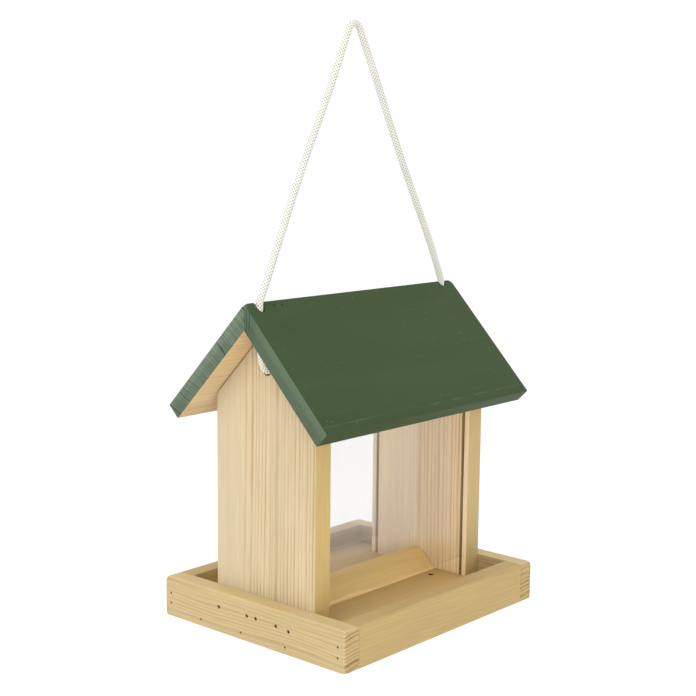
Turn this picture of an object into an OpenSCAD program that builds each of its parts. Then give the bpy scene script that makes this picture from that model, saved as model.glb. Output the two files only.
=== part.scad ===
// Hanging garden bird feeder: a small pine house on a railed tray.
// Seed lies between two gable walls and two clear panes and runs out under the panes.
// X runs along the ridge, Y across it, Z up. The origin is the underside of the top of the
// rope loop, where a hook carries the feeder. The timber is drawn from the tray's underside
// up, and hung() moves it under the hook.

/* [Tray] */
// Length of the tray along the ridge
tray_l = 200; // [190:1:210]
// Width of the tray across the ridge
tray_w = 163; // [155:1:175]
// Height of the tray rails
rail_h = 27; // [24:0.5:32]
// Thickness of the two end rails, under the gables
end_rail_t = 13.5; // [12:0.5:16]
// Thickness of the two side rails, under the eaves
side_rail_t = 14; // [12:0.5:16]
// Radius worn on the outer arrises of the tray
rail_round = 2; // [1:0.5:3]
// Thickness of the floor board
floor_t = 13.5; // [10:0.5:16]
// Diameter of the four drain holes in the floor
drain_hole_d = 4; // [3:0.5:6]

/* [Gable walls] */
// Width of each gable wall
wall_w = 88; // [80:1:94]
// Thickness of each gable wall
wall_t = 14.5; // [12:0.5:16]
// Wood left outside each pane groove
groove_lip = 3.5; // [3:0.5:6]
// Width of a pane groove
groove_w = 3; // [2.6:0.2:4]
// Depth of a pane groove
groove_depth = 5; // [3:0.5:7]
// Height of the rope hole above the tray's underside
rope_hole_z = 176; // [172:1:180]

/* [Panes] */
// Thickness of a clear pane
pane_t = 2; // [1.5:0.5:2]
// Height of a clear pane
pane_h = 124; // [110:1:126]
// Height of the feed gap between the floor and a pane
feed_gap = 14; // [10:1:18]

/* [Seed divider] */
// Width of the divider at the floor
divider_base = 33; // [26:1:40]
// Width of the flat along the top of the divider
divider_top = 7; // [4:1:12]
// Height of the divider
divider_h = 13.5; // [10:0.5:16]

/* [Roof] */
// Length of the roof boards along the ridge
roof_l = 210; // [204:1:220]
// Width of a roof board, down its slope
roof_board_w = 101; // [96:1:106]
// Thickness of a roof board
roof_t = 12; // [10:0.5:14]
// Slope of the roof
roof_angle = 46; // [44:1:48]
// Height of the ridge above the tray's underside
ridge_z = 220; // [216:1:226]

/* [Rope] */
// Diameter of the rope
rope_d = 5; // [4:0.5:5.5]
// Diameter of every hole that the rope runs through
rope_hole_d = 7; // [6.5:0.5:8]
// Distance between the two ridge holes
rope_hole_pitch = 187; // [183:1:190]
// Distance that the loop's top stands off the feeder's middle, along the ridge
loop_shift = 4; // [0:1:6]
// Distance that the rope runs in front of the ridge line, at the roof and below it
rope_front = 2; // [0:0.5:2.5]
// Diameter of a stopper knot
knot_d = 15; // [12:1:16]

/* [Nails] */
// Shank diameter of a brad
brad_d = 1.4; // [1.2:0.1:1.6]
// Head diameter of a brad
brad_head_d = 2; // [1.8:0.1:2.4]
// Depth that a brad's head is sunk below the wood
brad_sink = 0.6; // [0.3:0.1:1]

/* [Hidden] */
$fn = 48;

pine = "#dfc08e";
pine_pale = "#e8cfa2";
pine_warm = "#d3ac74";
roof_green = "#4a5c3e";
steel = "#8d9094";
clear = "#e6eef0";
rope_white = "#f1efe8";

hang_height = 393;               // hook point above the tray's underside
wall_face = tray_l/2 - end_rail_t;    // outer face of a gable wall
wall_inner = wall_face - wall_t;      // inner face of a gable wall
roof_drop = roof_t/cos(roof_angle);   // roof thickness measured straight down
underside_z = ridge_z - roof_drop;    // height of the inner apex of the roof
roof_seat_gap = 0.3;                  // gap left under the loose roof
pane_fit = 0.8;                       // end clearance of a pane in its grooves
pane_bottom = floor_t + feed_gap;
pane_y = wall_w/2 - groove_lip - groove_w/2;
pane_l = 2*(wall_inner + groove_depth - pane_fit);
hole_x = rope_hole_pitch/2;
brad_fit = 0.02;                      // radial clearance left round a brad
brad_head_h = 0.8;
end_brad_l = 30;                      // brads through the end rails
wall_brad_l = 25;                     // brads into the feet of the gable walls
divider_brad_l = 22;                  // brads up through the floor
ridge_brad_l = 25;                    // brads along the ridge
divider_fit = 0.2;                    // end clearance of the divider
drain_x = 59;                         // distance of a drain hole from the middle, along X
drain_y = 23;                         // and along Y
overrun = 1;                          // how far a cut starts outside the wood
pin_l = 9;                            // pane pins
pin_bite = 6;                         // length of a pane pin that sits in the wall
pin_drop = 0.8;                       // middle of a pane pin below the pane
knot_x = wall_inner - knot_d/2;
knot_tail = 14;

// Places of the brads on each end rail, as [y, z].
corner_brads = [[75.5, 16], [75.5, 9], [-75.5, 16], [-75.5, 9]];
wall_brads = [[29, 17], [3, 17], [-5, 17], [-23, 16.5], [-34, 15.5]];
floor_brads = [[46, 4.5], [8.5, 4.5], [-31, 4.5]];
// Places of the brads along the ridge and under the divider, as x.
ridge_brads = [-81, -74, 78];
divider_brads = [-52, 0, 52];
ridge_brad_in = 4;                    // distance from the ridge, down the slope

// Route of the rope, as [x, z] from the left ridge hole over the hook to the right one.
loop_route = [[-93.5, 218], [-93.3, 220], [-92.3, 222.5], [-89.5, 228], [-53.5, 304], [-26, 357],
              [-11, 389], [-9.5, 392], [-7, 394.5], [-4, 395.5], [-1, 394.5], [1.5, 392],
              [3, 389], [19.5, 358], [47.5, 305], [80, 248], [90, 228], [92.5, 222.5],
              [93.3, 220], [93.5, 218]];
// Route of one strand, as [distance from the middle, z]: out of the knot, through the
// gable wall and up into the ridge hole, where it meets the loop.
strand_route = [[70, rope_hole_z], [83, rope_hole_z], [86, rope_hole_z + 0.2],
                [88.5, rope_hole_z + 1.6], [90, rope_hole_z + 4], [91.5, 185.5], [92.5, 194],
                [93.2, 203], [93.5, 210], [93.5, 218]];
loop_top = 395.5;                     // middle of the rope over the hook
loop_end = 218;                       // where the loop meets the strands
rope_sides = 10;
ring_step = 2.5;                      // distance between two rings, in rope diameters

// ---- placing ----

// Place of the rope across the ridge at one end: in front of it at the left end only.
function rope_y(side) = side < 0 ? -rope_front : 0;

// Moves the feeder, drawn from the tray's underside up, under its hook.
module hung() {
    translate([loop_shift, 0, -hang_height]) children();
}

// Pieces of an end are drawn at the left one, and side 1 mirrors them to the right.
module at_end(side) {
    if (side < 0) children();
    else mirror([1, 0, 0]) children();
}

// Pieces of a long side are drawn at the front one, and side 1 mirrors them to the back.
module at_long_side(side) {
    if (side < 0) children();
    else mirror([0, 1, 0]) children();
}

// ---- brads ----

// A brad driven along +X into wood that starts at x = 0.
module brad(length) {
    translate([brad_sink, 0, 0]) rotate([0, 90, 0]) {
        cylinder(d = brad_head_d, h = brad_head_h);
        cylinder(d = brad_d, h = length);
    }
}

// The hole of that brad, open to the surface over its head.
module brad_hole(length) {
    rotate([0, 90, 0]) {
        translate([0, 0, -overrun])
            cylinder(d = brad_head_d + 2*brad_fit, h = overrun + brad_sink + brad_head_h);
        cylinder(d = brad_d + 2*brad_fit, h = length + brad_sink);
    }
}

// Repeats a brad or its hole at each [y, z] place on the left end rail.
module on_end_rail(places) {
    for (p = places) translate([-tray_l/2, p[0], p[1]]) children();
}

// Repeats it along the ridge, square to the front slope and into the back board's edge.
module along_ridge() {
    for (x = ridge_brads)
        translate([x, -ridge_brad_in*cos(roof_angle), ridge_z - ridge_brad_in*sin(roof_angle)])
            rotate([roof_angle - 90, 0, 0]) rotate([0, 0, 90]) children();
}

// Repeats it under the floor, up into the divider.
module under_divider() {
    for (x = divider_brads) translate([x, 0, 0]) rotate([0, -90, 0]) children();
}

// ---- tray ----

// Upright board section, width along X and height along Y, with its outer top arris
// rounded at x = 0, and at x = width too when both is true.
module eased_profile(width, height, radius, both = false) {
    right = both ? width - radius : width;
    square([width, height - radius]);
    translate([radius, height - radius]) square([right - radius, radius]);
    translate([radius, height - radius]) circle(r = radius);
    if (both) translate([right, height - radius]) circle(r = radius);
}

// Left end rail: its top arrises and its two upright corners are rounded outside.
module end_rail_blank() {
    intersection() {
        translate([-tray_l/2, tray_w/2, 0]) rotate([90, 0, 0])
            linear_extrude(tray_w) eased_profile(end_rail_t, rail_h, rail_round);
        translate([-tray_l/2, -tray_w/2, 0]) rotate([90, 0, 90])
            linear_extrude(end_rail_t) eased_profile(tray_w, rail_h, rail_round, true);
        translate([-tray_l/2 + end_rail_t, -tray_w/2, 0]) rotate([0, 0, 90])
            linear_extrude(rail_h) eased_profile(tray_w, end_rail_t, rail_round, true);
    }
}

module end_rail(side) {
    hung() at_end(side) difference() {
        end_rail_blank();
        on_end_rail(corner_brads) brad_hole(end_brad_l);
        on_end_rail(wall_brads) brad_hole(wall_brad_l);
        on_end_rail(floor_brads) brad_hole(end_brad_l);
    }
}

module side_rail(side) {
    hung() at_long_side(side) difference() {
        translate([-wall_face, -tray_w/2, 0]) rotate([90, 0, 90])
            linear_extrude(2*wall_face) eased_profile(side_rail_t, rail_h, rail_round);
        for (end = [-1, 1]) at_end(end) on_end_rail(corner_brads) brad_hole(end_brad_l);
    }
}

module tray_rail_left() { color(pine_pale) end_rail(-1); }
module tray_rail_right() { color(pine_pale) end_rail(1); }
module tray_rail_front() { color(pine_warm) side_rail(-1); }
module tray_rail_back() { color(pine_warm) side_rail(1); }

module floor_board() {
    depth = tray_w - 2*side_rail_t;
    color(pine) hung() difference() {
        translate([-wall_face, -depth/2, 0]) cube([2*wall_face, depth, floor_t]);
        for (end = [-1, 1]) at_end(end) on_end_rail(floor_brads) brad_hole(end_brad_l);
        under_divider() brad_hole(divider_brad_l);
        for (x = [-drain_x, drain_x], y = [-drain_y, drain_y])
            translate([x, y, -overrun]) cylinder(d = drain_hole_d, h = floor_t + 2*overrun);
    }
}

module rail_corner_nails() {
    color(steel) hung() for (end = [-1, 1])
        at_end(end) on_end_rail(corner_brads) brad(end_brad_l);
}

module floor_nails() {
    color(steel) hung() for (end = [-1, 1])
        at_end(end) on_end_rail(floor_brads) brad(end_brad_l);
}

// ---- gable walls ----

// Height of the roof's underside at a distance y from the ridge.
function underside_at(y) = underside_z - abs(y)*tan(roof_angle);

// Pentagon of a gable wall, Y along X and Z along Y, just short of the roof.
module gable_outline() {
    half = wall_w/2;
    gap = roof_seat_gap/cos(roof_angle);
    polygon([[-half, floor_t], [half, floor_t], [half, underside_at(half) - gap],
             [0, underside_z - gap], [-half, underside_at(half) - gap]]);
}

// Square hole of one pane groove, from the floor up through the sloping top.
module pane_groove(y) {
    translate([-wall_inner - groove_depth, y - groove_w/2, floor_t - overrun])
        cube([groove_depth + overrun, groove_w, underside_z]);
}

// Repeats a pane pin or its hole in the left wall, just under each pane.
module at_pane_pins() {
    for (y = [-pane_y, pane_y])
        translate([-wall_inner - groove_depth - pin_bite, y, pane_bottom - pin_drop])
            rotate([0, 90, 0]) children();
}

module gable_wall(side) {
    hung() at_end(side) difference() {
        translate([-wall_face, 0, 0]) rotate([90, 0, 90])
            linear_extrude(wall_t) gable_outline();
        for (y = [-pane_y, pane_y]) pane_groove(y);
        translate([-wall_face - overrun, rope_y(side), rope_hole_z]) rotate([0, 90, 0])
            cylinder(d = rope_hole_d, h = wall_t + 2*overrun);
        on_end_rail(wall_brads) brad_hole(wall_brad_l);
        at_pane_pins() cylinder(d = brad_d + 2*brad_fit, h = pin_l);
    }
}

module gable_wall_left() { color(pine_pale) gable_wall(-1); }
module gable_wall_right() { color(pine_pale) gable_wall(1); }

module wall_nails() {
    color(steel) hung() for (end = [-1, 1])
        at_end(end) on_end_rail(wall_brads) brad(wall_brad_l);
}

// ---- hopper ----

module window(side) {
    color(clear, 0.4) hung() at_long_side(side)
        translate([-pane_l/2, -pane_y - pane_t/2, pane_bottom]) cube([pane_l, pane_t, pane_h]);
}

module window_front() { window(-1); }
module window_back() { window(1); }

module window_pins() {
    color(steel) hung() for (end = [-1, 1])
        at_end(end) at_pane_pins() cylinder(d = brad_d, h = pin_l);
}

module seed_divider() {
    length = 2*(wall_inner - divider_fit);
    color(pine) hung() difference() {
        translate([-length/2, 0, floor_t]) rotate([90, 0, 90]) linear_extrude(length)
            polygon([[-divider_base/2, 0], [divider_base/2, 0],
                     [divider_top/2, divider_h], [-divider_top/2, divider_h]]);
        under_divider() brad_hole(divider_brad_l);
    }
}

module divider_nails() {
    color(steel) hung() under_divider() brad(divider_brad_l);
}

// ---- roof ----

// Section of the front board, mitred upright at the ridge, Y along X and Z along Y.
module roof_section() {
    eave = [-roof_board_w*cos(roof_angle), ridge_z - roof_board_w*sin(roof_angle)];
    polygon([[0, ridge_z], eave, eave + roof_t*[sin(roof_angle), -cos(roof_angle)],
             [0, underside_z]]);
}

module roof_board(side) {
    hung() difference() {
        at_long_side(side) translate([-roof_l/2, 0, 0]) rotate([90, 0, 90])
            linear_extrude(roof_l) roof_section();
        for (end = [-1, 1])
            translate([end*hole_x, rope_y(end), underside_z - rope_hole_d])
                cylinder(d = rope_hole_d, h = roof_drop + 2*rope_hole_d);
        along_ridge() brad_hole(ridge_brad_l);
    }
}

module roof_board_front() { color(roof_green) roof_board(-1); }
module roof_board_back() { color(roof_green) roof_board(1); }

module ridge_nails() {
    color(steel) hung() along_ridge() brad(ridge_brad_l);
}

// ---- rope ----

// Number of rings laid on the straight from a to b.
function rings_between(a, b) = max(1, ceil(norm(b - a)/(ring_step*rope_d)));

// The route with its straights cut into even steps.
function laid(route) = [
    for (i = [0 : len(route) - 2])
        let (a = route[i], b = route[i + 1], n = rings_between(a, b))
            for (k = [0 : n - 1]) a + (b - a)*k/n,
    route[len(route) - 1]];

function heading(line, i) =
    let (a = line[max(i - 1, 0)], b = line[min(i + 1, len(line) - 1)]) (b - a)/norm(b - a);

// How far the rope has leaned from the hook, over the ridge line, to its place at the roof.
function lean_at(point) =
    rope_y(point[0] + loop_shift)*min(1, (loop_top - point[1])/(loop_top - loop_end));

// One ring of the rope round a point of the line, square to its heading.
function rope_ring(line, i) =
    let (t = heading(line, i), across = [-t[1], t[0]])
        [for (s = [0 : rope_sides - 1])
            let (a = 360*s/rope_sides, out = line[i] + rope_d/2*cos(a)*across)
                [out[0], lean_at(line[i]) + rope_d/2*sin(a), out[1]]];

// A rope swept along a route.
module rope(route) {
    line = laid(route);
    last = len(line) - 1;
    skin = [for (i = [0 : last - 1]) for (s = [0 : rope_sides - 1])
        let (a = i*rope_sides + s, b = i*rope_sides + (s + 1)%rope_sides)
            [a, b, b + rope_sides, a + rope_sides]];
    polyhedron(
        points = [for (i = [0 : last]) each rope_ring(line, i)],
        faces = concat([[for (s = [rope_sides - 1 : -1 : 0]) s]], skin,
                       [[for (s = [0 : rope_sides - 1]) last*rope_sides + s]]));
}

module rope_loop() { color(rope_white) hung() rope(loop_route); }

module rope_strand(side) {
    color(rope_white) hung() rope([for (p = strand_route) [side*p[0], p[1]]]);
}

module rope_strand_left() { rope_strand(-1); }
module rope_strand_right() { rope_strand(1); }

// Stopper knot drawn up against the inside of a gable wall, with its tail hanging.
module rope_knot(side) {
    color(rope_white) hung() at_end(side) translate([-knot_x, rope_y(side), rope_hole_z]) {
        sphere(d = knot_d);
        translate([0, 0, -knot_tail]) cylinder(d = rope_d, h = knot_tail);
    }
}

module rope_knot_left() { rope_knot(-1); }
module rope_knot_right() { rope_knot(1); }

tray_rail_left();
tray_rail_right();
tray_rail_front();
tray_rail_back();
floor_board();
gable_wall_left();
gable_wall_right();
seed_divider();
window_front();
window_back();
window_pins();
rail_corner_nails();
wall_nails();
floor_nails();
divider_nails();
roof_board_front();
roof_board_back();
ridge_nails();
rope_loop();
rope_strand_left();
rope_strand_right();
rope_knot_left();
rope_knot_right();
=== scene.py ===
"""Looks of a hanging garden bird feeder.

A small pine house stands on a railed tray, under a roof with a green stain, and hangs by a
braided cord. Seed lies between two gable walls and two clear panes. Every piece is built in
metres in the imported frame, +Z up, with the underside of the cord's top at the origin.
Left is -X, front is -Y.
"""

from __future__ import annotations

import logging
import math
from contextlib import contextmanager
from dataclasses import dataclass, field
from enum import Enum
from functools import partial
from typing import Callable, Iterator, Sequence

import bpy
import numpy as np
from mathutils import Euler, Matrix, Quaternion, Vector


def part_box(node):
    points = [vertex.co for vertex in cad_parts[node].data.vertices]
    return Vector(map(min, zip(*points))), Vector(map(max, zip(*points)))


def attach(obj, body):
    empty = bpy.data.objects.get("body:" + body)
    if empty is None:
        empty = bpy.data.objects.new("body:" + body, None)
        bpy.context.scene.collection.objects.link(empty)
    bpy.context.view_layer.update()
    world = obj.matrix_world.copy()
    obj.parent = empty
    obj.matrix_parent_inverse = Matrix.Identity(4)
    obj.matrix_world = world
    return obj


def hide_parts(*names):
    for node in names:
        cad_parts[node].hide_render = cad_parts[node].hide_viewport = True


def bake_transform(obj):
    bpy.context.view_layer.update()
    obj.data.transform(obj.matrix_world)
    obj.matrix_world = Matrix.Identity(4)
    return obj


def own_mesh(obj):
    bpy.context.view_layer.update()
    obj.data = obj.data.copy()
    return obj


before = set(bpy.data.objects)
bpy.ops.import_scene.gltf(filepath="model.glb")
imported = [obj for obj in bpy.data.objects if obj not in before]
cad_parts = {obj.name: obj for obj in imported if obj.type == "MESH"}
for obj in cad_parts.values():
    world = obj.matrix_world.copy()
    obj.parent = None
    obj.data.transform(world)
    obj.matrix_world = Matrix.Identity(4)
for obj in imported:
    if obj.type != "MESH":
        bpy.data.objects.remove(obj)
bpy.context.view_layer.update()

logging.basicConfig(level=logging.INFO, format="%(message)s")
LOG = logging.getLogger("bird_feeder")

MM = 0.001
PLACE_TOLERANCE = 1e-5
ROOF_SLOPE = math.radians(46)
SHARP = math.radians(60)    # angle between two faces from which their edge is sharp
PIT_SIDES = 14      # corners of the round pit over a brad
DRAIN_SIDES = 24    # corners of a drain hole
HOLE_SIDES = 32     # corners of a cord hole
CURVE_STEPS = 24    # straight runs that a curve is drawn with between two points

Socket = bpy.types.NodeSocket
Piece = bpy.types.Object
Places = tuple[tuple[float, float], ...]


class Way(Enum):
    """A way out from the middle of the feeder: its name, and its sign along X or Y."""

    LEFT = ("left", -1)
    RIGHT = ("right", 1)
    FRONT = ("front", -1)
    BACK = ("back", 1)


# ---- modelling helpers ----


def only(piece: Piece) -> None:
    """Makes a piece the one that is selected and active.

    Args:
        piece: The piece.
    """
    bpy.ops.object.select_all(action="DESELECT")
    piece.select_set(True)
    bpy.context.view_layer.objects.active = piece


def settle(piece: Piece, name: str) -> Piece:
    """Names a new piece and moves its place, turn and scale into its mesh.

    Args:
        piece: The piece that a primitive operator has just added.
        name: Its name, and its mesh's.

    Returns:
        The same piece, at the origin.
    """
    piece.name = piece.data.name = name
    only(piece)
    bpy.ops.object.transform_apply(location=True, rotation=True, scale=True)
    return piece


def block(name: str, low: Vector, high: Vector) -> Piece:
    """Adds a board blank that fills a box.

    Args:
        name: Name of the new piece.
        low: Lowest corner of the box.
        high: Highest corner of the box.

    Returns:
        The blank.
    """
    bpy.ops.object.select_all(action="DESELECT")
    bpy.ops.mesh.primitive_cube_add(size=1, location=(low + high) / 2, scale=high - low)
    return settle(bpy.context.active_object, name)


class Part(Enum):
    """What an edit selects, as Blender's switches for vertices, edges and faces."""

    EDGES = (False, True, False)
    FACES = (False, False, True)


Chooser = Callable[[Sequence[Vector], "Vector | None"], bool]


def everything(corners: Sequence[Vector], normal: Vector | None) -> bool:
    """Chooses every edge or face."""
    return True


@contextmanager
def edit(piece: Piece, part: Part, chosen: Chooser) -> Iterator[None]:
    """Opens a piece in edit mode with some of its edges or faces selected.

    Args:
        piece: The piece to edit.
        part: Whether edges or faces are chosen.
        chosen: Takes the corners of an edge or face, and a face's normal, and says
            whether it is selected.

    Yields:
        Nothing; the piece is back in object mode afterwards.
    """
    only(piece)
    bpy.context.tool_settings.mesh_select_mode = part.value
    bpy.ops.object.mode_set(mode="EDIT")
    bpy.ops.mesh.select_all(action="DESELECT")
    bpy.ops.object.mode_set(mode="OBJECT")
    mesh = piece.data
    for item in mesh.edges if part is Part.EDGES else mesh.polygons:
        corners = [mesh.vertices[i].co for i in item.vertices]
        item.select = chosen(corners, getattr(item, "normal", None))
    bpy.ops.object.mode_set(mode="EDIT")
    yield
    bpy.ops.object.mode_set(mode="OBJECT")


def between(*planes: tuple[int, float]) -> Chooser:
    """Chooses the edges that lie in two of some planes.

    Args:
        planes: Each plane as the axis that it is square to and its place on that axis.

    Returns:
        The chooser.
    """

    def chosen(corners: Sequence[Vector], normal: Vector | None) -> bool:
        """Says whether an edge lies in two of the planes.

        Args:
            corners: Ends of the edge.
            normal: Not used for an edge.

        Returns:
            True for such an edge.
        """
        hits = sum(
            all(abs(corner[axis] - place) < PLACE_TOLERANCE for corner in corners)
            for axis, place in planes
        )
        return hits >= 2

    return chosen


def round_edges(piece: Piece, chosen: Chooser, radius: float, segments: int) -> None:
    """Rounds the edges of a piece that a chooser picks.

    Args:
        piece: The piece.
        chosen: Picks the edges.
        radius: Width that the rounding takes off each face.
        segments: Number of flats in the rounding, 1 for a chamfer.
    """
    with edit(piece, Part.EDGES, chosen):
        bpy.ops.mesh.bevel(offset=radius, segments=segments, profile=0.5, affect="EDGES")


def ease_sharp_edges(piece: Piece, radius: float) -> None:
    """Takes the sharpness off every sharp edge with a small rounding.

    Args:
        piece: The piece.
        radius: Width that the rounding takes off each face.
    """
    with edit(piece, Part.EDGES, lambda corners, normal: False):
        bpy.ops.mesh.edges_select_sharp(sharpness=SHARP)
        bpy.ops.mesh.bevel(offset=radius, segments=2, profile=0.5, affect="EDGES")


def slice_off(piece: Piece, through: Vector, outward: Vector) -> None:
    """Saws off what lies outside a plane and closes the cut.

    Args:
        piece: The piece.
        through: A point of the plane.
        outward: Direction square to the plane, towards the waste.
    """
    with edit(piece, Part.FACES, everything):
        bpy.ops.mesh.bisect(
            plane_co=through, plane_no=outward, use_fill=True, clear_outer=True
        )


def rod(start: Vector, way: Vector, diameter: float, length: float, sides: int) -> Piece:
    """Adds a plain cutter for a drilled hole.

    Args:
        start: Middle of the hole's mouth.
        way: Direction of drilling.
        diameter: Diameter of the hole.
        length: Depth of the hole below its mouth, with the same run outside it.
        sides: Number of sides.

    Returns:
        The cutter, which reaches as far outside the mouth as it does in.
    """
    bpy.ops.object.select_all(action="DESELECT")
    bpy.ops.mesh.primitive_cylinder_add(
        vertices=sides,
        radius=diameter / 2,
        depth=2 * length,
        location=start,
        rotation=way.to_track_quat("Z", "Y").to_euler(),
    )
    return settle(bpy.context.active_object, "cutter")


def cut_away(piece: Piece, cutters: Sequence[Piece]) -> None:
    """Cuts several bodies out of a piece and removes them.

    Args:
        piece: The piece.
        cutters: The bodies to cut out.
    """
    bpy.ops.object.select_all(action="DESELECT")
    for cutter in cutters:
        cutter.select_set(True)
    bpy.context.view_layer.objects.active = cutters[0]
    if len(cutters) > 1:
        bpy.ops.object.join()
    tool = bpy.context.active_object
    only(piece)
    modifier = piece.modifiers.new("holes", "BOOLEAN")
    modifier.operation = "DIFFERENCE"
    modifier.solver = "EXACT"
    modifier.object = tool
    bpy.ops.object.modifier_apply(modifier=modifier.name)
    bpy.data.objects.remove(tool)


def shade(piece: Piece, degrees: float = 35) -> None:
    """Shades a piece smooth across its rounded edges, and keeps its flats flat.

    Args:
        piece: The piece.
        degrees: Angle between two faces from which their edge stays crisp.
    """
    only(piece)
    bpy.ops.object.shade_smooth_by_angle(angle=math.radians(degrees))
    modifier = piece.modifiers.new("flat_faces", "WEIGHTED_NORMAL")
    modifier.weight = 100
    modifier.keep_sharp = True
    bpy.ops.object.modifier_apply(modifier=modifier.name)


def dress(piece: Piece, *finishes: bpy.types.Material) -> None:
    """Puts materials on a piece.

    Args:
        piece: The piece.
        finishes: The materials, in the order of the piece's material slots.
    """
    piece.data.materials.clear()
    for finish in finishes:
        piece.data.materials.append(finish)


def place(piece: Piece, body: str, slot: str, *nodes: str) -> None:
    """Puts a finished piece on a body in place of CAD nodes and reports it.

    Args:
        piece: The finished piece.
        body: Name of the body that it rides on.
        slot: Name of the record's material slot; not used.
        nodes: The CAD nodes that it stands for.
    """
    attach(piece, body)
    if nodes:
        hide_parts(*nodes)
    LOG.info("%s rides on %s, %d faces", piece.name, body, len(piece.data.polygons))


# ---- materials ----


IN_COLOUR = {"out": 2, "data_type": "RGBA"}          # settings of a mix of two colours
EASED = {"interpolation_type": "SMOOTHSTEP"}         # settings of a range with soft ends

def linear(hex_colour: str) -> tuple[float, float, float, float]:
    """Turns an sRGB hex colour into linear light.

    Args:
        hex_colour: The colour, as "#rrggbb".

    Returns:
        Red, green, blue and alpha, from 0 to 1.
    """
    channels = [int(hex_colour[i : i + 2], 16) / 255 for i in (1, 3, 5)]
    light = [c / 12.92 if c <= 0.04045 else ((c + 0.055) / 1.055) ** 2.4 for c in channels]
    return (*light, 1.0)


class Shading:
    """A new material with one shader, which patterns are added to.

    Attributes:
        material: The material.
        shader: Its shader node.
    """

    def __init__(self, name: str) -> None:
        """Makes the material, empty but for its shader.

        Args:
            name: Name of the material.
        """
        self.material = bpy.data.materials.new(name)
        self.material.use_nodes = True
        self.tree = self.material.node_tree
        self.tree.nodes.clear()
        self.shader = self.tree.nodes.new("ShaderNodeBsdfPrincipled")
        output = self.tree.nodes.new("ShaderNodeOutputMaterial")
        self.tree.links.new(self.shader.outputs[0], output.inputs["Surface"])

    def add(
        self,
        kind: str,
        *inputs: object,
        at: dict[int | str, object] | None = None,
        out: int | str = 0,
        stops: Sequence[tuple[float, float]] = (),
        **settings: object,
    ) -> Socket:
        """Adds a node with its settings, values and links.

        Args:
            kind: Type name of the node, without its first word.
            inputs: Values or sockets for the node's inputs, in order; None skips one.
            at: Further values or sockets, by input name or number.
            out: Name or number of the output to hand back.
            stops: Places and greys of a colour ramp's stops.
            settings: Properties of the node.

        Returns:
            The chosen output.
        """
        node = self.tree.nodes.new(f"ShaderNode{kind}")
        for setting, value in settings.items():
            setattr(node, setting, value)
        for i, (position, grey) in enumerate(stops):
            ramp = node.color_ramp.elements
            stop = ramp[i] if i < 2 else ramp.new(position)
            stop.position = position
            stop.color = (grey, grey, grey, 1)
        for key, value in {**dict(enumerate(inputs)), **(at or {})}.items():
            if isinstance(value, Socket):
                self.tree.links.new(value, node.inputs[key])
            elif value is not None:
                node.inputs[key].default_value = value
        return node.outputs[out]

    def finish(self, **inputs: object) -> bpy.types.Material:
        """Sets and links the shader's inputs.

        Args:
            inputs: Values and sockets; an underscore stands for a space in an input's name.

        Returns:
            The finished material.
        """
        for name, value in inputs.items():
            socket = self.shader.inputs[name.replace("_", " ")]
            if isinstance(value, Socket):
                self.tree.links.new(value, socket)
            else:
                socket.default_value = value
        return self.material

    def millimetres(self, turn: Euler = Euler(), origin: Vector = Vector()) -> Socket:
        """Gives the place on the piece from an origin, turned, in millimetres.

        Args:
            turn: Turn that the place is seen in.
            origin: Place of the zero, in metres.

        Returns:
            The place.
        """
        local = self.add("TexCoord", out="Object")
        away = -(turn.to_matrix() @ origin) / MM
        return self.add("Mapping", local, away, turn, (1 / MM, 1 / MM, 1 / MM))

    def noise(
        self,
        at: Socket,
        size: tuple[float, float, float],
        seed: float,
        detail: float = 2.0,
        out: str = "Fac",
    ) -> Socket:
        """Adds a noise pattern whose lumps have a real size.

        Args:
            at: Place on the piece, in millimetres.
            size: Size of a lump along each axis, in millimetres.
            seed: Number that shifts the pattern.
            detail: How many finer layers it has.
            out: "Fac" for a grey pattern or "Color" for three of them.

        Returns:
            The pattern, about 0.5 on average.
        """
        per_mm = tuple(1 / s for s in size)
        shift = (seed, seed * 1.7, seed * 0.6)
        scaled = self.add("VectorMath", at, per_mm, shift, operation="MULTIPLY_ADD")
        inputs = {"Vector": scaled, "Scale": 1.0, "Detail": detail}
        return self.add("TexNoise", at=inputs, out=out)


class Grain(Enum):
    """The way a board's fibres run, with the turn that lays them along X."""

    LENGTHWAYS = (0.0, 0.0, 0.0)
    CROSSWAYS = (0.0, 0.0, -math.pi / 2)
    UPRIGHT = (0.0, math.pi / 2, 0.0)


@dataclass(frozen=True)
class Cut:
    """How a board came out of its log.

    Attributes:
        grain: The way the fibres run.
        heart: A point on the middle line of the log, in metres.
        seed: Number that makes this board's figure its own.
    """

    grain: Grain
    heart: Vector
    seed: float


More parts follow.
